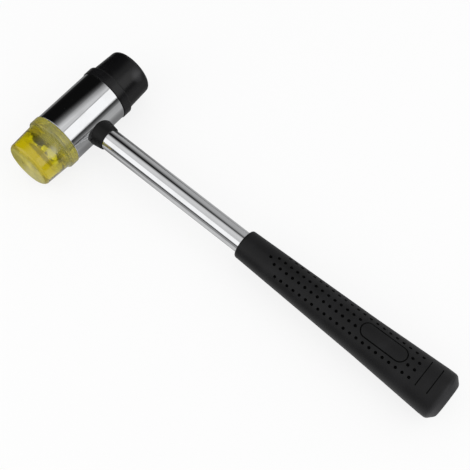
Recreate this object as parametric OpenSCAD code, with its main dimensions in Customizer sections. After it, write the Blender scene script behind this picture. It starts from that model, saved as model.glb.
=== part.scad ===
// Soft face hammer: a chromed steel barrel on a tube handle, with a screwed-in
// face of clear plastic at one end and of rubber at the other.
// The hammer lies on its side: +X runs along the handle to the butt, +Y along the
// head to the rubber face, +Z up. Lengths are in millimetres.

/* [Barrel] */
// Diameter of the barrel
barrel_d = 35; // [30:0.5:45]
// Length of the barrel between its two faces
barrel_len = 41.6; // [38:0.2:60]
// Chamfer round each end of the barrel
barrel_chamfer = 0.6; // [0.2:0.1:1.2]

/* [Striking faces] */
// Diameter of the flange that seats on the barrel
flange_d = 36; // [34:0.2:46]
// Length of the flange
flange_len = 6.2; // [4:0.1:10]
// Radius round the flange's front rim
flange_round = 0.9; // [0.2:0.1:1.2]
// Diameter of a face where it leaves its flange
face_root_d = 33.2; // [28:0.1:34]
// Diameter of a face at its front
face_front_d = 31.1; // [24:0.1:33]
// Length of a face from its seat to its front
face_len = 25.9; // [18:0.1:34]
// Radius round the front edge of a face
face_round = 2.8; // [0.5:0.1:4]

/* [Face bolts] */
// Diameter of the bolt's shank
bolt_d = 12; // [8:0.5:13]
// Length of the shank under the bolt's head
bolt_len = 17.6; // [15:0.1:18.5]
// Width of the hexagon head across its flats
bolt_head_af = 19; // [16:0.5:22]
// Height of the hexagon head
bolt_head_h = 6; // [4:0.1:8]
// Height of the bevel on the head's corners, above and below
bolt_head_bevel = 1.2; // [0.5:0.1:1.5]
// Angle at which the head sits in its face
bolt_turn = 10; // [0:1:59]
// Depth of the head's underside below the seat of the face
bolt_bury = 9.2; // [8:0.1:11]
// Chamfer on the tip of the shank
bolt_chamfer = 1; // [0.5:0.1:1.5]
// Spare depth of the tapped hole past the bolt's tip
tap_spare = 0.8; // [0.4:0.1:2]

/* [Lock washers] */
// Outside diameter of the split washer
washer_d = 21.1; // [18:0.1:26]
// Thickness of the washer, pressed flat
washer_h = 2.5; // [1:0.1:4]
// Width of the split
washer_split = 1.5; // [0.5:0.1:2]

/* [Handle tube] */
// Outside diameter of the tube
tube_d = 14; // [10:0.2:18]
// Wall of the tube
tube_wall = 1.2; // [0.8:0.1:2]
// How far the tube's socket runs past the axis of the head
socket_past = 6; // [0:0.5:10]

/* [Collar] */
// Distance from the axis of the head to the collar's end
collar_end = 24.2; // [21:0.1:40]
// Wall of the collar at the barrel
collar_root_wall = 1.9; // [1.2:0.1:4]
// Wall of the collar at its end
collar_end_wall = 0.8; // [0.6:0.1:2]
// Radius round the collar's end
collar_round = 0.4; // [0.1:0.1:0.6]

/* [Grip] */
// Distance from the axis of the head to the front of the grip
grip_start = 132; // [80:1:200]
// Length of the grip
grip_len = 146; // [140:1:180]
// Diameter at the front of the grip
grip_front_d = 18.8; // [17.5:0.1:24]
// Radius round the front edge
grip_round = 1.5; // [0.5:0.1:2]
// Distance from the front of the grip to the start of its flare
grip_waist = 90; // [60:1:110]
// Diameter at the start of the flare
grip_waist_d = 25.1; // [22:0.1:30]
// Diameter at the butt
grip_butt_d = 30; // [26:0.1:36]
// Length of the straight butt ahead of its chamfer
butt_len = 5; // [2:0.5:10]
// Length of the chamfer round the butt
butt_chamfer_len = 4; // [1:0.1:6]
// Diameter of the flat end of the butt
butt_end_d = 21.3; // [14:0.1:26]
// Thickness of rubber behind the tube's end
butt_wall = 7; // [3:0.5:12]

/* [Grip pattern] */
// Diameter of a dimple
dimple_d = 1.8; // [1:0.1:3]
// Depth of a dimple
dimple_depth = 1.5; // [0.5:0.1:1.8]
// Number of dimples along a full row
dimple_count = 22; // [4:1:22]
// Number of rows on one side
dimple_rows = 4; // [2:1:4]
// Distance between dimples along a row
dimple_pitch = 4.44; // [3:0.01:4.6]
// Distance between rows
dimple_row_pitch = 4.85; // [3:0.05:5]
// Distance from the front of the grip to the start of the full rows
dimple_start = 28.7; // [14:0.1:30]
// Distance from the front of the grip to the oval plate
plate_start = 84.4; // [40:0.1:94]
// Length of the oval plate
plate_len = 31.2; // [15:0.1:40]
// Width of the oval plate
plate_w = 10; // [6:0.1:12]
// Width of the groove round the plate
plate_groove_w = 1; // [0.4:0.1:1.5]
// Distance from the front of the grip to the first cross groove
cross_start = 127; // [125:0.5:130]
// Distance between the two cross grooves
cross_pitch = 7.5; // [4:0.5:9]
// Length of a cross groove
cross_len = 17; // [8:0.5:22]
// Width of a cross groove
cross_w = 0.9; // [0.4:0.1:1.5]
// Depth of all the grooves
groove_depth = 0.8; // [0.2:0.1:1]

/* [Hidden] */
// Gap of a pressed, moulded or glued fit
snug = 0.05;
// Radial room of the bolt's thread in its tapped hole
thread_room = 0.08;
// Room round the bolt in the washer, and round the washer in its recess
washer_room = 0.25;
// Run of a cutting tool past the face that it cuts
overrun = 2;
// Angle of a drill's point, from its axis
drill_angle = 59;
// Slope of the bevel on a hexagon's corners
bevel_angle = 30;
// Run of that bevel past the corners, so that the lathe leaves the edges alone
bevel_spare = 0.5;
// Angle that keeps the seam of the turned bevel off the hexagon's edges
bevel_seam = 7;
// Numbers of dimples side by side ahead of the full rows, going forward
dimple_lead = [2, 1];
// Number of steps in a rounded edge
arc_steps = 8;
$fn = 96;

barrel_r = barrel_d / 2;
barrel_end = barrel_len / 2;
flange_r = flange_d / 2;
tube_r = tube_d / 2;
tap_r = bolt_d / 2 + thread_room;
tap_depth = bolt_len - bolt_bury + tap_spare;
collar_root_r = tube_r + collar_root_wall;
collar_start = sqrt(pow(barrel_r, 2) - pow(collar_root_r, 2));
grip_end = grip_start + grip_len;
tube_end = grip_end - butt_wall;
butt_start = grip_len - butt_chamfer_len - butt_len;
plate_r = plate_w / 2;
plate_near = grip_start + plate_start + plate_r;
plate_far = grip_start + plate_start + plate_len - plate_r;

// The two ends of the head: the clear plastic face points to -Y, the rubber one to +Y
plastic_side = -1;
rubber_side = 1;

// Moves the crossing of head and handle to its place: the origin lies on the floor,
// under the middle of the hammer's length
module place() {
    translate([(flange_r - grip_end) / 2, 0, flange_r]) children();
}

// Turns +Z to point along the handle, to the butt
module along_handle() {
    place() rotate([0, 90, 0]) children();
}

// Turns +Z to point out of one end of the head, with zero at that end of the barrel
module out_of_head(side) {
    place() rotate([-90 * side, 0, 0]) translate([0, 0, barrel_end]) children();
}

// Points of the arc that rounds the end of a tapered bar. The bar's radius is r_base
// at start and r_tip at end, and the arc runs tangent from its side into its flat end.
function rounded_tip(r_base, r_tip, start, end, round) =
    let (
        way = sign(end - start),
        lean = atan((r_base - r_tip) / abs(end - start)),
        arc_r = r_tip + round * (tan(lean) - 1 / cos(lean))
    )
    [
        for (step = [0 : arc_steps])
            let (turn = lean + (90 - lean) * step / arc_steps)
            [arc_r + round * cos(turn), end + way * round * (sin(turn) - 1)]
    ];

// Barrel: a solid bar with a tapped hole in each end and a blind cross socket
module head_barrel() {
    color("silver")
    difference() {
        place() rotate([90, 0, 0]) barrel_bar();
        for (side = [plastic_side, rubber_side])
            out_of_head(side) tapped_hole();
        along_handle()
            translate([0, 0, -socket_past])
            cylinder(r = tube_r + snug, h = socket_past + barrel_r + overrun);
    }
}

module barrel_bar() {
    rotate_extrude()
    polygon([
        [0, -barrel_end],
        [barrel_r - barrel_chamfer, -barrel_end],
        [barrel_r, barrel_chamfer - barrel_end],
        [barrel_r, barrel_end - barrel_chamfer],
        [barrel_r - barrel_chamfer, barrel_end],
        [0, barrel_end]
    ]);
}

// Hole for a face bolt, with the cone that the drill leaves
module tapped_hole() {
    rotate_extrude()
    polygon([
        [0, -tap_depth - tap_r / tan(drill_angle)],
        [tap_r, -tap_depth],
        [tap_r, overrun],
        [0, overrun]
    ]);
}

// Handle: a steel tube from the floor of the socket to the butt
module handle_tube() {
    color("gainsboro")
    along_handle()
    translate([0, 0, -socket_past])
    difference() {
        cylinder(r = tube_r, h = socket_past + tube_end);
        translate([0, 0, -overrun])
            cylinder(r = tube_r - tube_wall, h = socket_past + tube_end + 2 * overrun);
    }
}

// Collar: a tapered sleeve on the tube, saddled on the barrel
module handle_collar() {
    end_r = tube_r + collar_end_wall;
    color("dimgray")
    difference() {
        along_handle()
        rotate_extrude()
        polygon(concat(
            [[tube_r + snug, collar_start], [collar_root_r, collar_start]],
            rounded_tip(collar_root_r, end_r, collar_start, collar_end, collar_round),
            [[tube_r + snug, collar_end]]
        ));
        place() rotate([90, 0, 0])
            cylinder(r = barrel_r + snug, h = barrel_len, center = true);
    }
}

// Body of the grip without its bore and pattern, drawn in by inset all round
module grip_body(inset) {
    front_r = grip_front_d / 2 - inset;
    waist_r = grip_waist_d / 2 - inset;
    butt_r = grip_butt_d / 2 - inset;
    along_handle()
    translate([0, 0, grip_start])
    rotate_extrude()
    polygon(concat(
        [
            [0, grip_len - inset],
            [butt_end_d / 2 - inset, grip_len - inset],
            [butt_r, butt_start + butt_len],
            [butt_r, butt_start],
            [waist_r, grip_waist]
        ],
        rounded_tip(waist_r, front_r, grip_waist, inset, grip_round),
        [[0, inset]]
    ));
}

// Radius of the grip at a distance from its front
function grip_r(x) = lookup(x, [
    [0, grip_front_d / 2],
    [grip_waist, grip_waist_d / 2],
    [butt_start, grip_butt_d / 2]
]);

// Distance of a point from the middle line of the oval plate
function from_plate(x, y) = norm([x - max(plate_near, min(plate_far, x)), y]);

// Rows of blind dimples on one side, square to the surface; up is 1 on top and -1 below
module dimples(up) {
    for (column = [-len(dimple_lead) : dimple_count - 1]) {
        x = dimple_start + column * dimple_pitch;
        rows = column < 0 ? dimple_lead[-column - 1] : dimple_rows;
        for (row = [0 : rows - 1]) {
            y = (row - (rows - 1) / 2) * dimple_row_pitch;
            clear_of_plate = from_plate(grip_start + x, y) > plate_r + dimple_d;
            if (up < 0 || clear_of_plate)
                place()
                translate([grip_start + x, 0, 0])
                rotate([(up > 0 ? 0 : 180) - asin(y / grip_r(x)), 0, 0])
                translate([0, 0, grip_r(x) - dimple_depth])
                cylinder(d = dimple_d, h = dimple_depth + overrun, $fn = 24);
        }
    }
}

// Outline of the oval plate, drawn in by inset
module plate_outline(inset) {
    for (x = [plate_near, plate_far])
        translate([x, 0]) circle(r = plate_r - inset);
    translate([plate_near, inset - plate_r]) square([plate_far - plate_near, plate_w - 2 * inset]);
}

// Grooves seen from above: round the oval plate, and two across the butt
module groove_lines() {
    difference() {
        plate_outline(0);
        plate_outline(plate_groove_w);
    }
    for (line = [0, 1])
        translate([grip_start + cross_start + line * cross_pitch - cross_w / 2, -cross_len / 2])
            square([cross_w, cross_len]);
}

// Cuts an even depth of groove into the top of the grip
module grooves() {
    difference() {
        place() linear_extrude(height = grip_butt_d) groove_lines();
        grip_body(groove_depth);
    }
}

// Grip: a moulded rubber sleeve with a closed butt
module grip() {
    color("#262628")
    difference() {
        grip_body(0);
        along_handle()
            translate([0, 0, grip_start - overrun])
            cylinder(r = tube_r + snug, h = tube_end - grip_start + overrun);
        grooves();
        dimples(1);
        dimples(-1);
    }
}

// One striking face: a flange with a rounded rim, then the tapered nose,
// with the pockets that its bolt and washer fill
module face(side) {
    root_r = face_root_d / 2;
    front_r = face_front_d / 2;
    out_of_head(side)
    difference() {
        rotate_extrude()
        polygon(concat(
            [[0, 0], [flange_r, 0]],
            rounded_tip(flange_r, flange_r, 0, flange_len, flange_round),
            [[root_r, flange_len]],
            rounded_tip(root_r, front_r, flange_len, face_len, face_round),
            [[0, face_len]]
        ));
        translate([0, 0, -overrun])
            cylinder(r = washer_d / 2 + washer_room, h = washer_h + overrun);
        cylinder(r = bolt_d / 2 + snug, h = bolt_bury);
        bolt_head(side, snug);
    }
}

// Hexagon head with its corners bevelled above and below; room is the gap left round it
module bolt_head(side, room) {
    corner_r = (bolt_head_af / 2 + room) / cos(30);
    bevel_r = corner_r - bolt_head_bevel / tan(bevel_angle);
    turned_r = corner_r + bevel_spare;
    turned_h = bolt_head_bevel + bevel_spare * tan(bevel_angle);
    translate([0, 0, bolt_bury])
    rotate([0, 0, -side * bolt_turn])
    intersection() {
        translate([0, 0, -overrun])
            cylinder(r = corner_r, h = bolt_head_h + 2 * overrun, $fn = 6);
        rotate([0, 0, bevel_seam])
        rotate_extrude()
        polygon([
            [0, 0],
            [bevel_r, 0],
            [turned_r, turned_h],
            [turned_r, bolt_head_h - turned_h],
            [bevel_r, bolt_head_h],
            [0, bolt_head_h]
        ]);
    }
}

// Hexagon bolt, moulded into its face up to the head's underside
module face_bolt(side) {
    out_of_head(side) {
        bolt_head(side, 0);
        translate([0, 0, bolt_bury])
        rotate_extrude()
        polygon([
            [0, -bolt_len],
            [bolt_d / 2 - bolt_chamfer, -bolt_len],
            [bolt_d / 2, bolt_chamfer - bolt_len],
            [bolt_d / 2, 0],
            [0, 0]
        ]);
    }
}

// Split lock washer, pressed flat between the barrel and the face
module lock_washer(side) {
    out_of_head(side)
    difference() {
        cylinder(d = washer_d, h = washer_h);
        translate([0, 0, -overrun])
            cylinder(r = bolt_d / 2 + washer_room, h = washer_h + 2 * overrun);
        translate([0, -washer_split / 2, -overrun])
            cube([washer_d, washer_split, washer_h + 2 * overrun]);
    }
}

module yellow_face() {
    color("gold") face(plastic_side);
}

module yellow_face_bolt() {
    color("darkgray") face_bolt(plastic_side);
}

module yellow_lock_washer() {
    color("gray") lock_washer(plastic_side);
}

module black_face() {
    color("#1c1c1e") face(rubber_side);
}

module black_face_bolt() {
    color("darkgray") face_bolt(rubber_side);
}

module black_lock_washer() {
    color("gray") lock_washer(rubber_side);
}

head_barrel();
handle_tube();
handle_collar();
grip();
yellow_face();
yellow_face_bolt();
yellow_lock_washer();
black_face();
black_face_bolt();
black_lock_washer();
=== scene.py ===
# %% [markdown]
# # A soft face hammer
# This lesson dresses a hammer that is used where steel would leave a mark: for
# panel work, for joinery and for seating bearings. A chromed barrel carries a
# face of clear amber plastic at one end and a face of black rubber at the other.
# Both are screwed in, so that a worn one can be changed.
# The exact solids come from CAD as a fixed frame. Blender gives each of them the
# softened edges, threads, moulded pattern and finish of the real thing.

# %% Load the frame
import math

import bmesh
import bpy
from mathutils import Matrix, Vector


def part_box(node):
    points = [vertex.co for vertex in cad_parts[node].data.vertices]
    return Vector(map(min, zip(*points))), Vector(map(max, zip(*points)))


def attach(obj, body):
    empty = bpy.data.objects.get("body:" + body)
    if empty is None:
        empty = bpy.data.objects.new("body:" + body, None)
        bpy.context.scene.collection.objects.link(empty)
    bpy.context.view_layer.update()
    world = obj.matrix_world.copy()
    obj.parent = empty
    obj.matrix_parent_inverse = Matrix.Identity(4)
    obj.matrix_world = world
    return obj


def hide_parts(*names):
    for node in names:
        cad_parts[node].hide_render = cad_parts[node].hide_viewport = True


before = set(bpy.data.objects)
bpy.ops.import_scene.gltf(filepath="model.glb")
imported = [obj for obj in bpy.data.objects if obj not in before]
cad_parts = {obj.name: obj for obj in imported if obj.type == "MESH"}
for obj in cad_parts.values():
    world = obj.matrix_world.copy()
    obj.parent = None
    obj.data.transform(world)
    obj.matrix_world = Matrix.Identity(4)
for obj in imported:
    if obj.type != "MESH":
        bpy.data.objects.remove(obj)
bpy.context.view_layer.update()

print("nodes:", sorted(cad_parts))

# %% [markdown]
# ## Measure before cutting
# A maker takes the main sizes off the drawing first. The box of each CAD node
# gives them here: where head and handle cross, how thick the barrel and the tube
# are, and where the grip begins. Sizes that no box shows follow with each piece.

# %% Main sizes
MM = 0.001
X, Y, Z = Vector((1, 0, 0)), Vector((0, 1, 0)), Vector((0, 0, 1))
ORIGIN = Vector((0, 0, 0))

barrel_low, barrel_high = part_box("head_barrel")
tube_low, tube_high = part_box("handle_tube")
grip_low, grip_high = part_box("grip")
face_low, face_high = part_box("black_face")

head = (barrel_low + barrel_high) / 2
barrel_r = (barrel_high.z - barrel_low.z) / 2
barrel_half = barrel_high.y - head.y
tube_r = (tube_high.z - tube_low.z) / 2
flange_r = (face_high.z - face_low.z) / 2
face_len = face_high.y - face_low.y
grip_len = grip_high.x - grip_low.x
butt_r = (grip_high.z - grip_low.z) / 2
print("head centre (mm):", [round(c / MM, 2) for c in head])
print("barrel radius", round(barrel_r / MM, 2), "tube radius", round(tube_r / MM, 2))

# %% [markdown]
# ## The camera
# The photograph looks down on the hammer from the side of the plastic face, with
# the handle running to the lower right. Its three axes are written out as the
# columns of a matrix, which holds the small roll of the camera as well.

# %% Camera at the photograph's angle
LENS, SENSOR, CLIP_START = 71.36, 36, 0.01
camera_right = Vector((0.76609, 0.64206, 0.02983))
camera_up = Vector((-0.59390, 0.68936, 0.41480))
camera_back = Vector((0.24576, -0.33550, 0.90942))
camera_from_head = Vector((260.090, -184.056, 500.996)) * MM

bpy.ops.object.select_all(action="DESELECT")
bpy.ops.object.camera_add(location=head + camera_from_head)
camera = bpy.context.object
axes = Matrix((camera_right, camera_up, camera_back)).transposed()
camera.rotation_euler = axes.to_euler()
camera.data.lens = LENS
camera.data.sensor_width = SENSOR
camera.data.clip_start = CLIP_START
bpy.context.scene.camera = camera
bpy.context.scene.view_settings.view_transform = "Standard"
print("camera at", [round(c, 4) for c in camera.location])

# %% [markdown]
# ## Sums in a node tree
# Node trees are quicker to read as sums than as wires. A Value stands for a number
# on its way through a tree, and adding or multiplying Values adds Math nodes.


# %% Values
class Value:
    """A socket of a node tree that can be used in sums."""

    def __init__(self, bench, socket):
        self.bench = bench
        self.socket = socket

    def math(self, operation, *numbers):
        settings = {"operation": operation}
        return self.bench.add("ShaderNodeMath", settings, dict(enumerate(numbers)))

    def __add__(self, other):
        return self.math("ADD", self, other)

    def __sub__(self, other):
        return self.math("SUBTRACT", self, other)

    def __rsub__(self, other):
        return self.math("SUBTRACT", other, self)

    def __mul__(self, other):
        return self.math("MULTIPLY", self, other)

    __radd__ = __add__
    __rmul__ = __mul__

    def larger(self, other):
        return self.math("MAXIMUM", self, other)

    def smaller(self, other):
        return self.math("MINIMUM", self, other)

    def size(self):
        return self.math("ABSOLUTE", self)

    def between(self, low, high):
        """0 below low, 1 above high, and a smooth step between them."""
        settings = {"interpolation_type": "SMOOTHSTEP"}
        sockets = {"Value": self, "From Min": low, "From Max": high}
        return self.bench.add("ShaderNodeMapRange", settings, sockets)


print("values ready")

# %% [markdown]
# ## A bench for materials
# The bench makes every other node: its settings first, then what its sockets hold.
# Patterns are laid out in Object coordinates, which stay with a piece as it moves.


# %% The bench
class Bench:
    """A node tree that is being put together."""

    def __init__(self, tree):
        self.tree = tree
        tree.nodes.clear()

    def add(self, kind, settings=None, sockets=None, out=0):
        node = self.tree.nodes.new(kind)
        for name, setting in (settings or {}).items():
            setattr(node, name, setting)
        for name, value in (sockets or {}).items():
            if isinstance(value, Value):
                self.tree.links.new(value.socket, node.inputs[name])
            else:
                node.inputs[name].default_value = value
        return Value(self, node.outputs[out])

    def mix(self, share, first, second):
        """A colour on the way from first to second."""
        sockets = {0: share, 6: first, 7: second}
        return self.add("ShaderNodeMix", {"data_type": "RGBA"}, sockets, out=2)

    def vector(self, operation, vectors, out="Vector"):
        settings = {"operation": operation}
        return self.add("ShaderNodeVectorMath", settings, dict(enumerate(vectors)), out)

    def place(self, scale, centre=(0, 0, 0)):
        """Object coordinates, measured from a centre and stretched by scale."""
        where = self.add("ShaderNodeTexCoord", out="Object")
        moved = self.vector("SUBTRACT", (where, centre))
        return self.vector("MULTIPLY", (moved, scale))

    def part(self, vector, axis):
        """One coordinate of a vector."""
        return self.add("ShaderNodeSeparateXYZ", None, {0: vector}, axis)

    def length(self, vector):
        return self.vector("LENGTH", (vector,), "Value")

    def noise(self, scale, detail):
        """Noise with so many waves in a metre along each axis."""
        sockets = {"Vector": self.place(scale), "Scale": 1.0, "Detail": detail}
        return self.add("ShaderNodeTexNoise", None, sockets)

    def bump(self, height, strength, distance):
        sockets = {"Height": height, "Strength": strength, "Distance": distance}
        return self.add("ShaderNodeBump", None, sockets)

    def layers(self, share, first, second):
        """One shader over another."""
        return self.add("ShaderNodeMixShader", None, {0: share, 1: first, 2: second})

    def done(self, shader, output="ShaderNodeOutputMaterial", volume=None):
        """Wire the finished shader to the output."""
        node = self.tree.nodes.new(output)
        self.tree.links.new(shader.socket, node.inputs["Surface"])
        if volume:
            self.tree.links.new(volume.socket, node.inputs["Volume"])


def new_finish(name):
    """An empty material and the bench that it is made on."""
    material = bpy.data.materials.new(name)
    material.use_nodes = True
    return material, Bench(material.node_tree)


print("bench ready")

# %% [markdown]
# ## The floor
# The hammer lies on its side on a white sheet. It rests on the rims of its two
# faces and on its butt, and the butt is a little thinner, so the sheet is tipped by
# less than a degree to meet all three. Camera, mirror and glass rays find a sheet
# that is mostly white glow and partly lit paper: it stays white and keeps a shadow.

# %% Floor and world
SHEET_SIZE = 6.0
SHEET_GLOW = 0.82
SHEET_PAPER = (0.86, 0.86, 0.86, 1)
WHITE = (1, 1, 1, 1)
DAYLIGHT = 0.85
BUTT_CHAMFER = 4.0 * MM

butt_edge = grip_high.x - BUTT_CHAMFER
slope = grip_low.z / (butt_edge - head.x)


def seen_rays(bench):
    """1 for the rays that show the background: camera, mirror and glass."""
    seen = bench.add("ShaderNodeLightPath", out="Is Camera Ray")
    mirror = bench.add("ShaderNodeLightPath", out="Is Glossy Ray")
    glass = bench.add("ShaderNodeLightPath", out="Is Transmission Ray")
    return seen.larger(mirror).larger(glass)


bpy.ops.object.select_all(action="DESELECT")
bpy.ops.mesh.primitive_plane_add(
    size=SHEET_SIZE, location=(head.x, 0, 0), rotation=(0, -math.atan(slope), 0)
)
sheet = bpy.context.object
sheet.name = "white_sheet"
paper, bench = new_finish("white_paper")
lit = bench.add("ShaderNodeBsdfDiffuse", None, {"Color": SHEET_PAPER})
glow = bench.add("ShaderNodeEmission", None, {"Color": WHITE, "Strength": 1.0})
bench.done(bench.layers(seen_rays(bench) * SHEET_GLOW, lit, glow))
sheet.data.materials.append(paper)

world = bpy.data.worlds.new("white_room")
world.use_nodes = True
bpy.context.scene.world = world
bench = Bench(world.node_tree)
daylight = bench.add("ShaderNodeBackground", None, {"Color": WHITE, "Strength": DAYLIGHT})
bench.done(daylight, "ShaderNodeOutputWorld")
print("floor tipped by", round(math.degrees(math.atan(slope)), 2), "degrees")

# %% [markdown]
# ## Softboxes
# Chrome has no colour of its own: it shows the room. Two softboxes give the long
# white bands, one past the butt and one on the side of the plastic face. The energy
# of each lamp follows its area, so that both look equally bright.

# %% Softboxes
SOFTBOX_LIGHT = 1.0
BUTT_SIDE, PLASTIC_SIDE = (0.680, 0.282, 0.677), (-0.3135, -0.778, 0.5446)


def softbox(name, direction, distance, wide, tall):
    """A rectangle of even light, square to a direction from the head."""
    away = Vector(direction).normalized()
    turn = away.to_track_quat("Z", "Y").to_euler()
    bpy.ops.object.light_add(
        type="AREA", location=head + away * distance, rotation=turn
    )
    lamp = bpy.context.object
    lamp.name = name
    lamp.data.shape = "RECTANGLE"
    lamp.data.size, lamp.data.size_y = wide, tall
    lamp.data.energy = SOFTBOX_LIGHT * math.pi * wide * tall
    print("softbox:", lamp.name)


softbox("butt_softbox", BUTT_SIDE, distance=0.75, wide=0.60, tall=0.52)
softbox("side_softbox", PLASTIC_SIDE, distance=0.65, wide=0.60, tall=0.45)

# %% [markdown]
# ## Flags
# The dark parts of a mirror are set up too, with the cards that a photographer calls
# flags. A black one behind the head gives the barrel its dark band and fades to grey
# at its edges. Grey cards back the softboxes and skirts hang below them. A dark sheet
# just above the floor, clear in places, is painted shade and shadow on the table.
# Only mirror rays meet these cards, so they take no light away. Rays out of the
# plastic meet three of them.


# %% Flags
def flag(name, direction, distance, across, upward, light, cover=None, glass=True):
    """A card that mirror rays meet, and with glass the rays out of the plastic.

    It stands square to a direction from the head. Places on it are tangents of
    the angle from that direction: s across and t upward, each from low to high.
    Light and cover, its glow and how solid it is, may depend on s and t.
    """
    away = Vector(direction).normalized()
    turn = away.to_track_quat("Z", "Y")
    s_low, s_high = across
    t_low, t_high = upward
    aside = Vector(((s_low + s_high) / 2, (t_low + t_high) / 2, 1)) * distance
    bpy.ops.object.select_all(action="DESELECT")
    bpy.ops.mesh.primitive_plane_add(
        size=1, location=head + turn @ aside, rotation=turn.to_euler()
    )
    card = bpy.context.object
    card.name = name
    card.scale = ((s_high - s_low) * distance, (t_high - t_low) * distance, 1)
    felt, bench = new_finish(name + "_felt")
    where = bench.add("ShaderNodeTexCoord", out="UV")
    s = s_low + bench.part(where, "X") * (s_high - s_low)
    t = t_low + bench.part(where, "Y") * (t_high - t_low)
    sockets = {"Color": WHITE, "Strength": light(s, t) if callable(light) else light}
    shade = bench.add("ShaderNodeEmission", None, sockets)
    if cover:
        clear = bench.add("ShaderNodeBsdfTransparent")
        shade = bench.layers(cover(s, t), clear, shade)
    bench.done(shade)
    card.data.materials.append(felt)
    card.visible_transmission = glass
    for ray in ("camera", "diffuse", "shadow", "volume_scatter"):
        setattr(card, "visible_" + ray, False)
    print("flag:", card.name)


def black_and_grey(s, t):
    """Black in the middle, paler to the top and grey to the side of the rubber face."""
    black, ceiling_grey, overhead_grey, side_grey = 0.006, 0.92, 0.16, 0.54
    to_ceiling = (0.7 * s + 0.71 * t).between(0.28, 0.80)
    overhead = t.between(0.75, 1.05) * (-1 * s).between(0.1, 0.3)
    to_side = (-1 * s).between(0.25, 0.70)
    to_top = ceiling_grey * to_ceiling + overhead_grey * overhead
    return black + to_top.larger(side_grey * to_side)


def table_shade(s, t):
    """How dark the painted shade and shadow on the table are; s runs to the rubber face here, and
    t to the butt.
    """
    all_over, rim_shade, under_shade = 0.18, 0.88, 0.6
    beside = (1 - t.between(1.2, 4.6)) * (1 - (-1 * s).between(0.4, 2.2))
    behind = (-1 * t).between(-4, 7.5)
    left_rim = (-1 * t).between(0.2, 0.8) * (1 - 0.22 * (-1 * t).between(1.8, 3.2))
    under_tube = under_shade - under_shade * s.size().between(0.3, 1.1)
    rubber_side = 0.42 * s.between(0.2, 1.0) + 0.1 * s.between(1.5, 5)
    plastic_side = 0.62 * (-1 * s).between(2.2, 3.2)
    by_barrel = (all_over + 0.56 * beside).larger(behind).larger(rim_shade * left_rim)
    return by_barrel.larger(under_tube).larger(rubber_side).larger(plastic_side)


def skirt_fade(s, t):
    """Dark just under the softbox, paler down to the table."""
    top, middle, low = 0.07, 0.13, 0.27
    return top + middle * (-1 * t).between(0.02, 0.16) + low * (-1 * t).between(0.16, 0.3)


print("felt ready")

# %% [markdown]
# The back cards stand a centimetre behind their softboxes and show as grey borders.
# The table's card lies a fifth of a millimetre above the floor, wide enough to have
# no edge in sight.

# %% Set up the flags
BACK_GREY, TABLE_BLACK, SKIRT_GREY = 0.45, 0.01, 0.1
TABLE_LIFT = 0.2 * MM
TABLE_WIDE = (-100, 100)
BEHIND_HEAD, DOWN = (-0.75, 0.433, 0.5), (slope, 0, -1)
PAST_BUTT, PAST_PLASTIC = (0.925, 0.301, 0.232), (-0.32, -0.94, 0.05)

flag("black_flag", BEHIND_HEAD, 1.5, (-1.3, 0.9), (-0.66, 1.6), black_and_grey)
flag("butt_back", BUTT_SIDE, 0.76, (-0.43, 0.43), (-0.34, 0.40), BACK_GREY)
flag("side_back", PLASTIC_SIDE, 0.66, (-0.45, 0.45), (-0.34, 0.34), BACK_GREY)
# The dark table is painted shade and shadow that only mirrors see.
table_far = head.z - TABLE_LIFT
flag("dark_table", DOWN, table_far, TABLE_WIDE, TABLE_WIDE, TABLE_BLACK, table_shade, glass=False)
flag("butt_skirt", PAST_BUTT, 0.7, (-0.64, 0.64), (-0.3, 0.1), skirt_fade, glass=False)
flag("side_skirt", PAST_PLASTIC, 0.55, (-0.8, 0.8), (-0.12, 0.12), SKIRT_GREY, glass=False)

# %% [markdown]
# ## Tools of the workshop
# Work in edit mode starts with a choice: operators act on all that is selected. So
# everything is let go first, and faces and edges are then picked by where they are.
# A modifier is applied as soon as it is set, so that the next tool meets its result.

# %% Select, merge and apply
MERGE, NEAR = 1e-6, 2e-5
SQUARE = 0.999


def let_go():
    """Back to object mode with nothing selected."""
    if bpy.context.mode != "OBJECT":
        bpy.ops.object.mode_set(mode="OBJECT")
    bpy.ops.object.select_all(action="DESELECT")


def take(*pieces):
    """Select these pieces alone; the last one is the active one."""
    let_go()
    for piece in pieces:
        piece.select_set(True)
    bpy.context.view_layer.objects.active = pieces[-1]


def discard(piece):
    """Throw a tool away after its use."""
    take(piece)
    bpy.ops.object.delete()


def edit(piece):
    take(piece)
    bpy.ops.object.mode_set(mode="EDIT")


def pick(kind, test):
    """In edit mode, select the verts, edges or faces that pass a test."""
    bpy.ops.mesh.select_mode(type=kind)
    bpy.ops.mesh.select_all(action="DESELECT")
    mesh = bmesh.from_edit_mesh(bpy.context.object.data)
    parts = {"VERT": mesh.verts, "EDGE": mesh.edges, "FACE": mesh.faces}[kind]
    for part in parts:
        if test(part):
            part.select_set(True)
    mesh.select_flush_mode()
    bmesh.update_edit_mesh(bpy.context.object.data)


def facing(direction):
    """A test for faces that look straight along a direction."""
    return lambda face: face.normal.dot(direction) > SQUARE


def tidy_mesh():
    """Merge doubles, turn every face outwards and leave edit mode."""
    bpy.ops.mesh.select_all(action="SELECT")
    bpy.ops.mesh.remove_doubles(threshold=MERGE)
    bpy.ops.mesh.normals_make_consistent(inside=False)
    let_go()


def settle(piece):
    """Move the place of a piece into its mesh."""
    take(piece)
    bpy.ops.object.transform_apply(location=True, rotation=True, scale=True)


def apply_modifier(piece, kind, **settings):
    """Add a modifier to a piece, set it and apply it at once."""
    take(piece)
    bpy.ops.object.modifier_add(type=kind)
    modifier = piece.modifiers[-1]
    for name, setting in settings.items():
        setattr(modifier, name, setting)
    bpy.ops.object.modifier_apply(modifier=modifier.name)


print("hands ready")

# %% [markdown]
# ## The lathe
# Every turned part starts as a disc that is extruded along its axis and scaled to
# the next radius, which is how a lathe is drawn by hand in edit mode. A hole is the
# same work inwards, from a flat end. Edges are rounded ring by ring.


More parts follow.
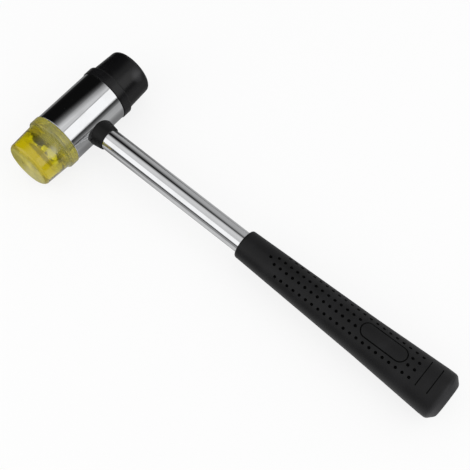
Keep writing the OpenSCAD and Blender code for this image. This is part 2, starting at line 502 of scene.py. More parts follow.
# %% Turn, bore and bevel
def extrude_to(base, along, at, wide, stations):
    """Carry the selected ring or disc on through stations of (distance, radius)."""
    for place, radius in stations:
        step = along * (place - at)
        bpy.ops.mesh.extrude_region_move(TRANSFORM_OT_translate={"value": step})
        bpy.ops.transform.resize(
            value=(radius / wide,) * 3, center_override=base + along * place
        )
        at, wide = place, radius


def turned(name, base, along, stations, sides=96, hollow=False):
    """A round part, turned through stations of (distance, radius) on an axis."""
    let_go()
    at, wide = stations[0]
    bpy.ops.mesh.primitive_circle_add(
        vertices=sides,
        radius=wide,
        fill_type="NOTHING" if hollow else "NGON",
        location=base + along * at,
        rotation=along.to_track_quat("Z", "Y").to_euler(),
    )
    piece = bpy.context.object
    piece.name = name
    bpy.ops.object.mode_set(mode="EDIT")
    bpy.ops.mesh.select_all(action="SELECT")
    extrude_to(base, along, at, wide, stations[1:])
    tidy_mesh()
    settle(piece)
    return piece


def bore(piece, base, along, at, wide, stations, pointed=False):
    """Extrude the flat end that faces the drill inwards; a pointed hole ends in a cone."""
    edit(piece)
    pick("FACE", facing(-along))
    extrude_to(base, along, at, wide, stations)
    if pointed:
        bpy.ops.mesh.merge(type="CENTER")
    tidy_mesh()


def on_ring(base, along, place, radius):
    """A test for edges that lie on one ring of a turned part."""

    def test(edge):
        for vert in edge.verts:
            arm = vert.co - base
            high = arm.dot(along)
            out = (arm - along * high).length
            if abs(high - place) > NEAR or abs(out - radius) > NEAR:
                return False
        return True

    return test


def bevel_ring(piece, base, along, place, radius, width, segments):
    """Round the edge of a turned part that lies on one ring."""
    edit(piece)
    pick("EDGE", on_ring(base, along, place, radius))
    bpy.ops.mesh.bevel(offset=width, segments=segments, affect="EDGES")
    let_go()


print("lathe ready")

# %% [markdown]
# A finished piece is shaded smooth up to an angle, with wide faces kept flat at their
# bevels. Then it is handed over: it says which body it rides on and which CAD node it
# stands for.


# %% Polish and hand over
def polish(piece, angle=35):
    """Shade smooth up to an angle in degrees, and weight the normals by face."""
    take(piece)
    bpy.ops.object.shade_smooth_by_angle(angle=math.radians(angle))
    apply_modifier(piece, "WEIGHTED_NORMAL", keep_sharp=True)


def belongs(piece, body, node):
    """Say what a piece rides on and what it stands for."""
    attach(piece, body)
    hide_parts(node)
    faces = len(piece.data.polygons)
    print(piece.name, "rides on", body, "for", node, "with", faces, "faces")


print("workshop ready")

# %% [markdown]
# ## The barrel
# On the real hammer this is a length of steel bar, faced and drilled on a lathe,
# tapped at both ends, cross bored for the handle and chromed. It starts as a disc,
# extruded to length. The rims are bevelled, and the drilled holes are extruded
# inwards from the two faces, down to the cone that the drill leaves.

# %% Barrel: bar, rims and tapped holes
RIM = 0.6 * MM
TAP_R, TAP_MOUTH_R, TAP_DEPTH = 6.08 * MM, 6.9 * MM, 9.2 * MM
DRILL_TIP = TAP_DEPTH + TAP_R / math.tan(math.radians(59))
DRILL_TIP_R = TAP_R / 50
TAPPED_HOLE = [
    (0, TAP_MOUTH_R),
    (TAP_MOUTH_R - TAP_R, TAP_R),
    (TAP_DEPTH, TAP_R),
    (DRILL_TIP, DRILL_TIP_R),
]

barrel_len = 2 * barrel_half
bar_start = head - Y * barrel_half
barrel = turned(
    "barrel_chromed", bar_start, Y, [(0, barrel_r), (barrel_len, barrel_r)], sides=128
)
for end in (0, barrel_len):
    bevel_ring(barrel, bar_start, Y, end, barrel_r, RIM, segments=4)
for side in (-1, 1):
    mouth = head + Y * side * barrel_half
    bore(barrel, mouth, -Y * side, 0, barrel_r - RIM, TAPPED_HOLE, pointed=True)
polish(barrel)
print("barrel faces:", len(barrel.data.polygons))

# %% [markdown]
# The cross bore would spoil the shading of the mirror, because a cut leaves odd
# faces round it. So the smooth normals of the uncut bar are carried over to the
# outside of the cut one, as is done for panels with holes on car bodies.

# %% Barrel: cross bore
SNUG = 0.05 * MM
SOCKET_PAST = 6.0 * MM
DRILL_REACH = SOCKET_PAST + barrel_r * 1.2

bore_r = tube_r + SNUG


def cut(piece, tool, operation="DIFFERENCE"):
    """Apply an exact Boolean and throw the tool away."""
    apply_modifier(piece, "BOOLEAN", operation=operation, solver="EXACT", object=tool)
    discard(tool)


def group(piece, name, test):
    """A vertex group of the places that pass a test."""
    found = [vert.index for vert in piece.data.vertices if test(vert.co)]
    piece.vertex_groups.new(name=name).add(found, 1, "REPLACE")
    return name


def on_outside(co):
    return Vector((co.x - head.x, co.z - head.z)).length > barrel_r - NEAR


take(barrel)
bpy.ops.object.duplicate()
smooth_bar = bpy.context.object
drill = turned(
    "socket_drill", head - X * SOCKET_PAST, X, [(0, bore_r), (DRILL_REACH, bore_r)], sides=64
)
cut(barrel, drill)
outside = group(barrel, "outside", on_outside)
apply_modifier(
    barrel,
    "DATA_TRANSFER",
    object=smooth_bar,
    use_loop_data=True,
    data_types_loops={"CUSTOM_NORMAL"},
    loop_mapping="POLYINTERP_NEAREST",
    vertex_group=outside,
)
discard(smooth_bar)
belongs(barrel, "hammer_frame", "head_barrel")

# %% [markdown]
# ## The handle tube
# A plain chromed steel tube joins head and grip. An open cylinder gets its wall
# from Solidify, and the cut ends are broken with a small bevel.

# %% Tube
TUBE_WALL = 1.2 * MM
TUBE_BREAK = 0.25 * MM

tube_len = tube_high.x - tube_low.x
tube_start = Vector((tube_low.x, head.y, head.z))
let_go()
bpy.ops.mesh.primitive_cylinder_add(
    vertices=96,
    radius=tube_r,
    depth=tube_len,
    end_fill_type="NOTHING",
    location=((tube_low.x + tube_high.x) / 2, head.y, head.z),
    rotation=(0, math.pi / 2, 0),
)
tube = bpy.context.object
tube.name = "tube_chromed"
settle(tube)
apply_modifier(tube, "SOLIDIFY", thickness=TUBE_WALL, offset=-1)
for end in (0, tube_len):
    for radius in (tube_r, tube_r - TUBE_WALL):
        bevel_ring(tube, tube_start, X, end, radius, TUBE_BREAK, segments=2)
polish(tube)
belongs(tube, "hammer_frame", "handle_tube")

# %% [markdown]
# ## The collar
# A black moulded sleeve hides the joint of tube and barrel. It is a tapered ring
# whose wide end is saddled to the round of the barrel. A Boolean would leave a
# ragged edge there, so the wide end is thrown onto a round former by Shrinkwrap,
# which keeps clean rows of quads for the bevel that softens it.

# %% Collar
COLLAR_END = 24.2 * MM
COLLAR_ROOT_R, COLLAR_END_R = tube_r + 1.9 * MM, tube_r + 0.8 * MM
COLLAR_ROWS = 6

collar_root = math.sqrt(barrel_r**2 - COLLAR_ROOT_R**2)
saddle_r = barrel_r + SNUG
rows = []
for row in range(COLLAR_ROWS + 1):
    share = row / COLLAR_ROWS
    place = collar_root + (COLLAR_END - collar_root) * share
    rows.append((place, COLLAR_ROOT_R + (COLLAR_END_R - COLLAR_ROOT_R) * share))
back = [(place, bore_r) for place, radius in reversed(rows)]
collar = turned(
    "collar_moulded", head, X, [(collar_root, bore_r), *rows, *back], hollow=True
)
former = turned(
    "saddle_former", bar_start, Y, [(0, saddle_r), (barrel_len, saddle_r)], sides=256
)
saddle = group(collar, "saddle", lambda co: co.x - head.x < collar_root + NEAR)
apply_modifier(
    collar,
    "SHRINKWRAP",
    target=former,
    wrap_method="PROJECT",
    use_project_x=True,
    use_project_y=False,
    use_project_z=False,
    use_positive_direction=True,
    use_negative_direction=False,
    vertex_group=saddle,
)
discard(former)
print("collar verts:", len(collar.data.vertices))

# %% [markdown]
# Only the first row was thrown onto the former. The rows behind it are slid along
# the handle in proportion, so that the taper stays even, and then both ends of the
# sleeve get their soft moulded edges.

# %% Collar: even rows and soft edges
COLLAR_SOFT = 0.45 * MM
SOFT_ANGLE = math.radians(50)

last_slid = rows[COLLAR_ROWS - 1][0]
for vert in collar.data.vertices:
    far = vert.co.x - head.x
    height = vert.co.z - head.z
    root = math.sqrt(saddle_r**2 - height**2)
    share = (far - collar_root) / (COLLAR_END - collar_root)
    if far < last_slid + NEAR and abs(far - root) > NEAR:
        vert.co.x = head.x + root + (COLLAR_END - root) * share


def soften(piece, width, segments):
    """Round every edge that is sharper than the soft angle."""
    apply_modifier(
        piece,
        "BEVEL",
        width=width,
        segments=segments,
        limit_method="ANGLE",
        angle_limit=SOFT_ANGLE,
    )
    polish(piece)


soften(collar, COLLAR_SOFT, segments=3)
belongs(collar, "hammer_frame", "handle_collar")

# %% [markdown]
# ## The grip
# The grip is moulded rubber pushed onto the tube: slim at the front, flared to the
# butt. It is turned first, in short rows, so that the later cuts touch only small
# faces. Its two ends are bevelled and the bore is extruded in from the front.

# %% Grip: turned body
GRIP_FRONT_R = 9.4 * MM
GRIP_WAIST, GRIP_WAIST_R = 90 * MM, 12.55 * MM
GRIP_ROUND = 1.5 * MM
GRIP_ROW = 2.2 * MM
BUTT_LEN, BUTT_END_R = 5.0 * MM, 10.65 * MM
BUTT_SOFT = 1.2 * MM
BUTT_WALL = 7.0 * MM
BORE_BREAK = 0.3 * MM

grip_base = Vector((grip_low.x, head.y, head.z))
butt_start = grip_len - BUTT_CHAMFER - BUTT_LEN
butt_bend = butt_start + BUTT_LEN


def grip_radius(x):
    """Radius of the grip at a distance from its front."""
    if x < GRIP_WAIST:
        return GRIP_FRONT_R + (GRIP_WAIST_R - GRIP_FRONT_R) * x / GRIP_WAIST
    share = min(1, (x - GRIP_WAIST) / (butt_start - GRIP_WAIST))
    return GRIP_WAIST_R + (butt_r - GRIP_WAIST_R) * share


row_count = round(butt_start / GRIP_ROW)
places = [(i * butt_start / row_count) for i in range(row_count + 1)]
stations = [(x, grip_radius(x)) for x in places]
stations += [(butt_bend, butt_r), (grip_len, BUTT_END_R)]
grip = turned("grip_moulded", grip_base, X, stations)
bevel_ring(grip, grip_base, X, 0, GRIP_FRONT_R, GRIP_ROUND, segments=5)
bevel_ring(grip, grip_base, X, butt_bend, butt_r, BUTT_SOFT, segments=3)
bevel_ring(grip, grip_base, X, grip_len, BUTT_END_R, BUTT_SOFT, segments=3)
grip_bore = [(0, bore_r + BORE_BREAK), (BORE_BREAK, bore_r), (grip_len - BUTT_WALL, bore_r)]
bore(grip, grip_base, X, 0, GRIP_FRONT_R - GRIP_ROUND, grip_bore)
print("grip faces:", len(grip.data.polygons))

# %% [markdown]
# ## The pattern of the grip
# Rows of small blind dimples give the hand its hold. One punch with a flared rim
# is turned, copied to every place and cut in one stroke. The flare leaves the soft
# lip that rubber has, where a plain cylinder would leave a sharp edge.

# %% Dimples
DIMPLE_COLUMNS = [1, 2] + [4] * 22
DIMPLE_PITCH, DIMPLE_ROW_PITCH = 4.44 * MM, 4.85 * MM
DIMPLE_START = 19.82 * MM
DIMPLE_PROFILE = [(-1.5, 0.7), (-0.25, 0.9), (-0.03, 1.0), (0.3, 1.5)]
PLATE_START, PLATE_LEN, PLATE_W = 84.4 * MM, 31.2 * MM, 10 * MM
PLATE_CLEAR = 1.8 * MM

plate_near = PLATE_START + PLATE_W / 2
plate_far = PLATE_START + PLATE_LEN - PLATE_W / 2
profile = [(place * MM, radius * MM) for place, radius in DIMPLE_PROFILE]
punch = turned("dimple_punch", ORIGIN, Z, profile, sides=12)
punches = []
for up in (0, math.pi):
    for column, side_by_side in enumerate(DIMPLE_COLUMNS):
        for row in range(side_by_side):
            x = DIMPLE_START + column * DIMPLE_PITCH
            y = (row - (side_by_side - 1) / 2) * DIMPLE_ROW_PITCH
            nearest = max(plate_near, min(plate_far, x))
            to_plate = math.hypot(x - nearest, y)
            if up == 0 and to_plate < PLATE_W / 2 + PLATE_CLEAR:
                continue
            spot = punch.copy()
            spot.data = punch.data.copy()
            bpy.context.scene.collection.objects.link(spot)
            spot.matrix_world = (
                Matrix.Translation(grip_base + X * x)
                @ Matrix.Rotation(up - math.asin(y / grip_radius(x)), 4, "X")
                @ Matrix.Translation(Z * grip_radius(x))
            )
            punches.append(spot)
take(*punches)
bpy.ops.object.join()
all_punches = bpy.context.object
settle(all_punches)
cut(grip, all_punches)
discard(punch)
print(len(punches), "dimples, grip faces:", len(grip.data.polygons))

# %% [markdown]
# An oval groove frames a bare plate. It is a circle pulled apart, thrown onto the
# rubber with Shrinkwrap and made into a round wire that cuts its own shape.

# %% Plate groove
PLATE_WIRE = 0.5 * MM
GROOVE_DEPTH = 0.8 * MM
PULLED_EDGE, PULLED_CUTS = 3 * MM, 20


def wire(piece, radius, sink):
    """Make a line of edges into a round wire, sunk below the surface."""
    take(piece)
    bpy.ops.object.convert(target="CURVE")
    piece = bpy.context.object
    piece.data.bevel_depth = radius
    piece.data.bevel_resolution = 2
    piece.data.use_fill_caps = True
    bpy.ops.object.convert(target="MESH")
    piece = bpy.context.object
    piece.location.z -= sink
    settle(piece)
    edit(piece)
    tidy_mesh()
    return piece


let_go()
bpy.ops.mesh.primitive_circle_add(
    vertices=64,
    radius=PLATE_W / 2 - PLATE_WIRE,
    location=grip_base + X * plate_near + Z * 2 * butt_r,
)
oval = bpy.context.object
settle(oval)
edit(oval)
pick("VERT", lambda vert: vert.co.x > grip_base.x + plate_near - MERGE)
bpy.ops.transform.translate(value=X * (plate_far - plate_near))
pick("EDGE", lambda edge: edge.calc_length() > PULLED_EDGE)
bpy.ops.mesh.subdivide(number_cuts=PULLED_CUTS)
apply_modifier(
    oval,
    "SHRINKWRAP",
    target=grip,
    wrap_method="PROJECT",
    use_project_z=True,
    use_negative_direction=True,
    use_positive_direction=False,
)
cut(grip, wire(oval, PLATE_WIRE, GROOVE_DEPTH - PLATE_WIRE))
print("grip faces with its plate:", len(grip.data.polygons))

# %% [markdown]
# Two short grooves cross the butt end. Each is cut by an arc of wire, which is what
# is left of a circle round the grip when the rest of it is deleted.

# %% Cross grooves
CROSS_WIRE = 0.45 * MM
CROSS_START, CROSS_PITCH, CROSS_LEN = 127 * MM, 7.5 * MM, 17 * MM

for line in (0, 1):
    x = CROSS_START + line * CROSS_PITCH
    let_go()
    bpy.ops.mesh.primitive_circle_add(
        vertices=192,
        radius=grip_radius(x),
        location=grip_base + X * x,
        rotation=(0, math.pi / 2, 0),
    )
    arc = bpy.context.object
    settle(arc)
    edit(arc)
    pick("VERT", lambda vert: vert.co.z < head.z or abs(vert.co.y) > CROSS_LEN / 2)
    bpy.ops.mesh.delete(type="VERT")
    cut(grip, wire(arc, CROSS_WIRE, GROOVE_DEPTH - CROSS_WIRE))
polish(grip, angle=40)
belongs(grip, "hammer_frame", "grip")

# %% [markdown]
# ## The face bolts
# Each face is cast round the head of a hexagon bolt. The thread is real: a tooth
# profile is wound up with the Screw modifier, closed at both ends and trimmed to a
# shank with a chamfered tip.

# %% Bolt: threaded shank
BOLT_R, BOLT_LEN, BOLT_BURY = 6.0 * MM, 17.6 * MM, 9.2 * MM
PITCH = 1.75 * MM
ROOT_R = BOLT_R - 0.613 * PITCH
TIP_R, BLANK_R = 5.0 * MM, BOLT_R * 1.01
BLANK_LEN = BOLT_LEN + 0.5 * MM
TOOTH = [(0, 0), (0.25, 0), (0.5625, 1), (0.6875, 1), (1, 0)]
TURN_STEPS = 32

let_go()
bpy.ops.mesh.primitive_circle_add(vertices=len(TOOTH), radius=PITCH)
thread = bpy.context.object
thread.name = "shank_threaded"
bpy.ops.object.mode_set(mode="EDIT")
mesh = bmesh.from_edit_mesh(thread.data)
mesh.verts.ensure_lookup_table()
for vert, (up, out) in zip(mesh.verts, TOOTH):
    vert.co = (ROOT_R + (BOLT_R - ROOT_R) * out, 0, (up - 2) * PITCH)
bmesh.update_edit_mesh(thread.data)
pick("EDGE", lambda edge: abs(edge.verts[0].co.z - edge.verts[1].co.z) > 0.9 * PITCH)
bpy.ops.mesh.delete(type="EDGE")
apply_modifier(
    thread,
    "SCREW",
    screw_offset=PITCH,
    iterations=math.ceil(BOLT_LEN / PITCH) + 3,
    steps=TURN_STEPS,
    render_steps=TURN_STEPS,
    use_merge_vertices=True,
    merge_threshold=MERGE,
)
edit(thread)
bpy.ops.mesh.select_all(action="SELECT")
bpy.ops.mesh.remove_doubles(threshold=MERGE)
middle = BOLT_LEN / 2
for below in (True, False):
    pick("EDGE", lambda edge: edge.is_boundary and (edge.verts[0].co.z < middle) == below)
    bpy.ops.mesh.extrude_edges_move()
    bpy.ops.mesh.merge(type="CENTER")
tidy_mesh()
blank = [(0, TIP_R), (BOLT_R - TIP_R, BLANK_R), (BLANK_LEN, BLANK_R)]
cut(thread, turned("shank_blank", ORIGIN, Z, blank, sides=64), "INTERSECT")
print("thread faces:", len(thread.data.polygons))

# %% [markdown]
# The head is a hexagon with its corners turned off: a six-sided bar that is cut to
# the overlap with a turned disc, bevelled on both sides. A bite draws it in all
# round, because the same shape later makes the hollow in the cast face.

# %% Bolt: hexagon head
HEAD_FLATS, HEAD_R, HEAD_HIGH, HEAD_BEVEL = 19 * MM, 10.2 * MM, 6.0 * MM, 2.0 * MM
HEAD_TURN = math.radians(10)
HEAD_SPARE = 0.4 * MM
BEVEL_SLOPE = math.radians(60)


def hexagon(name, start, turn, bite=0.0):
    """The bolt's head on Z, a round bar with six flats, drawn in all round by bite."""
    corner_r = (HEAD_FLATS / 2 - bite) / math.cos(math.radians(30))
    round_r = HEAD_R - bite
    bevel_r = round_r - HEAD_BEVEL / math.tan(BEVEL_SLOPE)
    low, high = start + bite, start + HEAD_HIGH - bite
    let_go()
    bpy.ops.mesh.primitive_cylinder_add(
        vertices=6,
        radius=corner_r,
        depth=HEAD_HIGH + HEAD_SPARE,
        location=(0, 0, (low + high) / 2),
        rotation=(0, 0, math.pi / 2 + turn),
    )
    piece = bpy.context.object
    piece.name = name
    settle(piece)
    disc = [
        (low, bevel_r),
        (low + HEAD_BEVEL, round_r),
        (high - HEAD_BEVEL, round_r),
        (high, bevel_r),
    ]
    cut(piece, turned("corner_lathe", ORIGIN, Z, disc), "INTERSECT")
    return piece


print("corners turned off by (mm):", round((HEAD_FLATS / math.sqrt(3) - HEAD_R) / MM, 2))

# %% [markdown]
# Thread and head are joined upright and then stood in the rubber end of the barrel.
# The bolt of the plastic face goes the same way, and is then turned half round the
# handle's axis to the other end. A mirror would make its thread left-handed.


# %% Bolts in their ends
def turn_about(piece, centre, angle, axis):
    """Turn a piece about an axis through a centre."""
    piece.matrix_world = (
        Matrix.Translation(centre)
        @ Matrix.Rotation(angle, 4, axis)
        @ Matrix.Translation(-centre)
    )
    settle(piece)


def set_in_end(piece, depth, black):
    """Stand a piece, made upright on Z, in one end of the head."""
    piece.matrix_world = (
        Matrix.Translation(head + Y * barrel_half)
        @ Matrix.Rotation(-math.pi / 2, 4, "X")
        @ Matrix.Translation(Z * depth)
    )
    settle(piece)
    if not black:
        turn_about(piece, head, math.pi, "X")


def bolt(name, turn, black):
    """A threaded shank with its head on, in its end of the head."""
    take(thread)
    bpy.ops.object.duplicate()
    piece = bpy.context.object
    piece.name = name
    cut(piece, hexagon("bolt_head", BOLT_LEN, turn), "UNION")
    set_in_end(piece, BOLT_BURY - BOLT_LEN, black)
    edit(piece)
    tidy_mesh()
    polish(piece, angle=30)
    return piece


black_bolt = bolt("black_bolt_threaded", -HEAD_TURN, True)
yellow_bolt = bolt("yellow_bolt_threaded", HEAD_TURN, False)
discard(thread)
belongs(black_bolt, "black_end", "black_face_bolt")
belongs(yellow_bolt, "yellow_end", "yellow_face_bolt")

# %% [markdown]
# ## The lock washers
# A split spring washer under each face keeps it from working loose. Pressed flat, it
# is a square section swept nearly all the way round, so a small plane is spun about
# the bolt and stopped short of itself.

# %% Washers
WASHER_R, WASHER_HOLE_R, WASHER_HIGH = 10.55 * MM, 6.25 * MM, 2.5 * MM
WASHER_SPLIT = 1.5 * MM
WASHER_BREAK = 0.2 * MM

seat = head + Y * barrel_half
middle_r = (WASHER_R + WASHER_HOLE_R) / 2
split_angle = WASHER_SPLIT / middle_r


def opposite(piece, name):
    """A copy with its own mesh, at the other end of the head."""
    take(piece)
    bpy.ops.object.duplicate()
    copy = bpy.context.object
    copy.name = name
    turn_about(copy, head, math.pi, "X")
    return copy


let_go()
bpy.ops.mesh.primitive_plane_add(
    size=1, location=seat + X * middle_r + Y * WASHER_HIGH / 2
)
black_washer = bpy.context.object
black_washer.name = "black_washer_split"
black_washer.scale = (WASHER_R - WASHER_HOLE_R, WASHER_HIGH, 1)
settle(black_washer)
edit(black_washer)
bpy.ops.mesh.select_all(action="SELECT")
bpy.ops.mesh.spin(
    steps=72, angle=2 * math.pi - split_angle, center=seat, axis=Y, dupli=False
)
tidy_mesh()
turn_about(black_washer, seat, split_angle / 2, "Y")
soften(black_washer, WASHER_BREAK, segments=2)
yellow_washer = opposite(black_washer, "yellow_washer_split")
belongs(black_washer, "black_washer", "black_lock_washer")
belongs(yellow_washer, "yellow_washer", "yellow_lock_washer")

# %% [markdown]
# ## The two faces
# Both faces come out of one mould: a flange that seats on the barrel, then a nose
# that tapers a little to a well rounded front. The pocket for the washer is
# extruded into the seat.

# %% Face: flange, nose and pocket
FLANGE_LEN, FLANGE_ROUND = 6.2 * MM, 0.9 * MM
FACE_ROOT_R, FACE_FRONT_R = 16.6 * MM, 15.55 * MM
FACE_ROUND, FACE_FILLET, SEAT_BREAK = 2.8 * MM, 0.5 * MM, 0.25 * MM
POCKET_R = WASHER_R + 0.25 * MM
SEAT_GAP = 0.03 * MM

mould = [
    (SEAT_GAP, flange_r),
    (FLANGE_LEN, flange_r),
    (FLANGE_LEN, FACE_ROOT_R),
    (face_len, FACE_FRONT_R),
]
black_face = turned("black_face_moulded", seat, Y, mould, sides=128)
bevel_ring(black_face, seat, Y, face_len, FACE_FRONT_R, FACE_ROUND, segments=8)
bevel_ring(black_face, seat, Y, FLANGE_LEN, FACE_ROOT_R, FACE_FILLET, segments=4)
bevel_ring(black_face, seat, Y, FLANGE_LEN, flange_r, FLANGE_ROUND, segments=5)
bevel_ring(black_face, seat, Y, SEAT_GAP, flange_r, SEAT_BREAK, segments=2)
pocket = [(SEAT_GAP, POCKET_R), (WASHER_HIGH + SEAT_GAP, POCKET_R)]
bore(black_face, seat, Y, SEAT_GAP, flange_r - SEAT_BREAK, pocket)
print("polygons of the moulded face:", len(black_face.data.polygons))

# %% [markdown]
# The bolt's own shape is cut out a hair too small, so that plastic and steel touch
# with no film of air, as they do in a casting. The faces differ only in how the
# bolt's head is turned, so the second is a copy that gets its own hollow.

# %% Face: hollow of the bolt
CAST_BITE = 0.03 * MM
CAST_SPARE = 1 * MM

cast_r = ROOT_R - CAST_BITE
cast_shank = [(WASHER_HIGH - CAST_SPARE, cast_r), (BOLT_BURY + CAST_SPARE, cast_r)]
cut(black_face, turned("cast_shank", seat, Y, cast_shank, sides=32))
yellow_face = opposite(black_face, "yellow_face_cast")
for face, turn in ((black_face, -HEAD_TURN), (yellow_face, HEAD_TURN)):
    cast_head = hexagon("cast_head", BOLT_BURY, turn, CAST_BITE)
    set_in_end(cast_head, 0, face is black_face)
    cut(face, cast_head)
    polish(face)
belongs(black_face, "black_end", "black_face")
belongs(yellow_face, "yellow_end", "yellow_face")

# %% [markdown]
# ## Chrome
# Chrome plate is a mirror with a slight grey-blue cast. What makes it look real is
# how its gloss varies: faint rings from the polishing wheel and soft smudges from
# hands. Both change the roughness a little, and the rings a very fine bump.

# %% Chrome finish
CHROME_TINT = (0.63, 0.635, 0.645, 1)
CHROME_SMUDGE = (0.56, 0.565, 0.57, 1)
SMUDGE_SCALE = 90
RING_SCALE, LINE_SCALE = 6000, 30


def dress(piece, finish):
    """Give a piece one finish alone."""
    piece.data.materials.clear()
    piece.data.materials.append(finish)
    for polygon in piece.data.polygons:
        polygon.material_index = 0
    print(piece.name, "wears", finish.name)


def chrome(name, rings):
    """Chrome plate; rings is the scale of the polishing lines along each axis."""
    finish, bench = new_finish(name)
    smudge = bench.noise((SMUDGE_SCALE,) * 3, detail=3).between(0.45, 0.75)
    lines = bench.noise(rings, detail=3)
    sockets = {
        "Base Color": bench.mix(smudge * 0.5, CHROME_TINT, CHROME_SMUDGE),
        "Metallic": 1.0,
        "Roughness": 0.045 + 0.03 * lines + 0.05 * smudge,
        "Normal": bench.bump(lines, strength=0.02, distance=0.0002),
    }
    bench.done(bench.add("ShaderNodeBsdfPrincipled", None, sockets))
    return finish


dress(barrel, chrome("barrel_chrome", (LINE_SCALE, RING_SCALE, LINE_SCALE)))
dress(tube, chrome("tube_chrome", (RING_SCALE, LINE_SCALE, LINE_SCALE)))

# %% [markdown]
# ## Zinc plated steel
# The bolts and washers are plain hardware with a bright zinc coat: a grey metal with
# cloudy patches. Rolling leaves the thread duller than the head, so the roughness
# grows near the bolt's axis.

# %% Zinc finish
ZINC_DARK, ZINC_PALE = (0.66, 0.65, 0.62, 1), (0.80, 0.80, 0.79, 1)
ZINC_CLOUDS, ZINC_GRAIN = 400, 5000
PER_MM = 1 / MM

zinc, bench = new_finish("zinc_coat")
cloud = bench.noise((ZINC_CLOUDS,) * 3, detail=4)
grain = bench.noise((ZINC_GRAIN,) * 3, detail=2)
from_axis = bench.length(bench.place((PER_MM, 0, PER_MM), head))
rolled = 1 - from_axis.between(6.2, 7.0)
sockets = {
    "Base Color": bench.mix(cloud, ZINC_DARK, ZINC_PALE),
    "Metallic": 1.0,
    "Roughness": 0.12 + 0.10 * cloud + 0.4 * rolled,
    "Normal": bench.bump(grain, strength=0.1, distance=0.0001),
}
bench.done(bench.add("ShaderNodeBsdfPrincipled", None, sockets))
for piece in (black_bolt, yellow_bolt, black_washer, yellow_washer):
    dress(piece, zinc)

# %% [markdown]
# ## Amber plastic
# The clear face is a tough cast plastic. Its colour comes from depth: thin rims are
# nearly clear and the thick middle is deep amber, so the colour sits in a Volume
# Absorption and the surface only bends the light.

# %% Plastic: clear and coloured in depth
AMBER_FILM = (0.95, 0.92, 0.04, 1)
AMBER_DEPTH, AMBER_DENSITY = (0.933, 0.905, 0.0, 1), 250
HAZE_SCALE, RIPPLE_SCALE = 120, 260

plastic, bench = new_finish("amber_plastic")
haze = bench.noise((HAZE_SCALE,) * 3, detail=3)
ripple = bench.noise((RIPPLE_SCALE,) * 3, detail=1)
past_seat = -1 * bench.part(bench.place((0, PER_MM, 0), head - Y * barrel_half), "Y")
to_front = bench.part(bench.add("ShaderNodeNewGeometry", out="Normal"), "Y").size()
nose = past_seat.between(8, 12)
worn = to_front.between(0.5, 0.9) * nose
sockets = {
    "Base Color": AMBER_FILM,
    "Roughness": 0.05 + 0.08 * haze,
    "IOR": 1.48,
    "Transmission Weight": 0.96,
    "Coat Weight": 0.4 - 0.4 * worn,
    "Coat Roughness": 0.06,
    "Normal": bench.bump(ripple, strength=0.05, distance=0.0004),
}
clear = bench.add("ShaderNodeBsdfPrincipled", None, sockets)
sockets = {"Color": AMBER_DEPTH, "Density": AMBER_DENSITY}
depth = bench.add("ShaderNodeVolumeAbsorption", None, sockets)
print("plastic: clear, with a density of", AMBER_DENSITY)

# %% [markdown]
# Three kinds of wear cloud the plastic: a streaky haze round the flange, the blows on
# the front and the rubbed rim round it. One pale patch on it is a painted highlight.
# A Mix Shader lays them over the clear plastic as a thin milky coat, each with its
# own tint.

# %% Plastic: wear
NOSE_TINT, FLANGE_TINT = (0.52, 0.47, 0.05, 1), (0.50, 0.48, 0.18, 1)
FRONT_TINT, RIM_TINT = (0.98, 0.88, 0.16, 1), (0.50, 0.40, 0.015, 1)
# Pale tint of the highlight painted on the plastic.
GLARE_TINT = (0.90, 0.88, 0.58, 1)
VEIL, FLANGE_HAZE, FRONT_HAZE, RIM_HAZE, GLARE_HAZE = 0.02, 0.5, 0.6, 0.5, 0.17
MILKY_ROUGHNESS = 0.5

rim = to_front.between(0.1, 0.4) * (1 - to_front.between(0.7, 0.95)) * nose
# A painted highlight: a pale milky patch round one point on the side of the plastic.
glare_at = head + Vector((10.5, -34.2, 12.4)) * MM
glare = 1 - bench.length(bench.place((PER_MM,) * 3, glare_at)).between(1.5, 5.5)
shade = bench.mix(past_seat.between(5, 8), FLANGE_TINT, NOSE_TINT)
shade = bench.mix(worn, shade, FRONT_TINT)
shade = bench.mix(rim, shade, RIM_TINT)
shade = bench.mix(glare, shade, GLARE_TINT)
sockets = {"Base Color": shade, "Roughness": MILKY_ROUGHNESS}
milky = bench.add("ShaderNodeBsdfPrincipled", None, sockets)
flange = 1 - past_seat.between(9, 13)
clouded = VEIL + FLANGE_HAZE * haze * flange + FRONT_HAZE * haze * worn + GLARE_HAZE * glare
clouded = clouded.larger(RIM_HAZE * rim)
bench.done(bench.layers(clouded, clear, milky), volume=depth)
dress(yellow_face, plastic)

# %% [markdown]
# ## Rubber
# Three rubbers share one recipe: nearly black, with a fine moulded grain and soft
# patches of gloss where it has been handled. The striking face is the smoothest,
# the grip the most matt.

# %% Rubber recipe
# Grey of the highlights painted on the black rubber.
PAINTED_SHEEN = (0.038, 0.038, 0.040, 1)
# Black of the shade painted into the dimples of the grip.
PAINTED_DIMPLE_SHADE = (0.001, 0.001, 0.001, 1)
PATCH_SCALE = 70
PATCH_BLOOM = 1.9
GRAIN_STRENGTH = 0.35


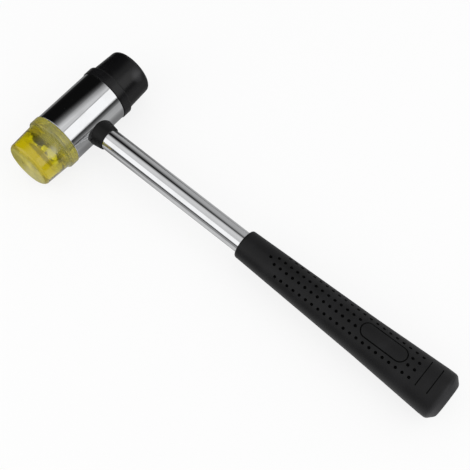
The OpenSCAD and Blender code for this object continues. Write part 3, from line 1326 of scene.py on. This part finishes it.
def rubber(name, shade, gloss, grain_size, grain_depth, shine=0.15, sheen=None, sunk=None):
    """Black rubber with a moulded grain and a specular level, shine.

    It is painted grey as a highlight where its highlight mask is 1, and painted black as shade,
    and made matt, where sunk is 1.
    """
    finish, bench = new_finish(name)
    grain = bench.noise((1 / grain_size,) * 3, detail=2)
    patch = bench.noise((PATCH_SCALE,) * 3, detail=3)
    bloom = tuple(c * PATCH_BLOOM for c in shade[:3]) + (1,)
    colour = bench.mix(patch.between(0.4, 0.8), shade, bloom)
    roughness = gloss + 0.16 * (patch - 0.5) + 0.08 * (grain - 0.5)
    if sheen:
        # Painted highlight: grey where the mask is 1.
        colour = bench.mix(sheen(bench) * (0.3 + patch), colour, PAINTED_SHEEN)
    if sunk:
        hollow = sunk(bench)
        # Painted shade: black where the mask is 1.
        colour = bench.mix(hollow, colour, PAINTED_DIMPLE_SHADE)
        roughness = roughness.larger(hollow)
    sockets = {
        "Base Color": colour,
        "Roughness": roughness,
        "Specular IOR Level": shine,
        "Normal": bench.bump(grain, GRAIN_STRENGTH, grain_depth),
    }
    bench.done(bench.add("ShaderNodeBsdfPrincipled", None, sockets))
    return finish


collar_finish = rubber(
    "collar_black",
    shade=(0.006, 0.006, 0.006, 1),
    gloss=0.40,
    grain_size=0.0005,
    grain_depth=3e-5,
)
dress(collar, collar_finish)

# %% [markdown]
# The rubber is painted grey as a highlight in two places: on the chamfer of the butt
# and in one spot behind the rim of the striking face. The floors of the dimples are
# painted black as shade and made matt. Each place is measured off the shape.


# %% Rubber: face and grip
def butt_sheen(bench):
    """Where a highlight is painted: 1 on the chamfer of the butt, 0 ahead of it."""
    past_edge = bench.place((PER_MM, 0, 0), (butt_edge, 0, 0))
    return bench.part(past_edge, "X").between(-2.5, 1.5)


def rim_sheen(bench):
    """Where a highlight is painted: 1 in one spot behind the rim of the black face, 0 round it.
    """
    spot = head + Vector((11.2, 40.5, 11.2)) * MM
    return 1 - bench.length(bench.place((PER_MM,) * 3, spot)).between(1.0, 5.5)


def dimple_floors(bench):
    """1 in the dimples and grooves of the grip, where shade is painted, 0 on its surface."""
    x = bench.part(bench.place((1, 0, 0), grip_base), "X")
    from_axis = bench.length(bench.place((0, 1, 1), head))
    slim = (GRIP_WAIST_R - GRIP_FRONT_R) / GRIP_WAIST
    flare = (butt_r - GRIP_WAIST_R) / (butt_start - GRIP_WAIST)
    surface = (GRIP_FRONT_R + slim * x).larger(GRIP_WAIST_R + flare * (x - GRIP_WAIST))
    sunk = surface.smaller(butt_r) - from_axis
    patterned = x.between(3 * MM, 4 * MM) * (1 - x.between(butt_start, butt_start + 1 * MM))
    return sunk.between(0.3 * MM, 0.8 * MM) * patterned


# The black face gets a painted highlight behind its rim; the grip gets one on the butt chamfer
# and painted shade in its dimples.
face_finish = rubber(
    "face_black",
    shade=(0.004, 0.004, 0.0044, 1),
    gloss=0.26,
    grain_size=0.0006,
    grain_depth=4e-5,
    shine=0.27,
    sheen=rim_sheen,
)
grip_finish = rubber(
    "grip_black",
    shade=(0.0052, 0.0052, 0.0057, 1),
    gloss=0.46,
    grain_size=0.0004,
    grain_depth=5e-5,
    shine=0.2,
    sheen=butt_sheen,
    sunk=dimple_floors,
)
dress(black_face, face_finish)
dress(grip, grip_finish)
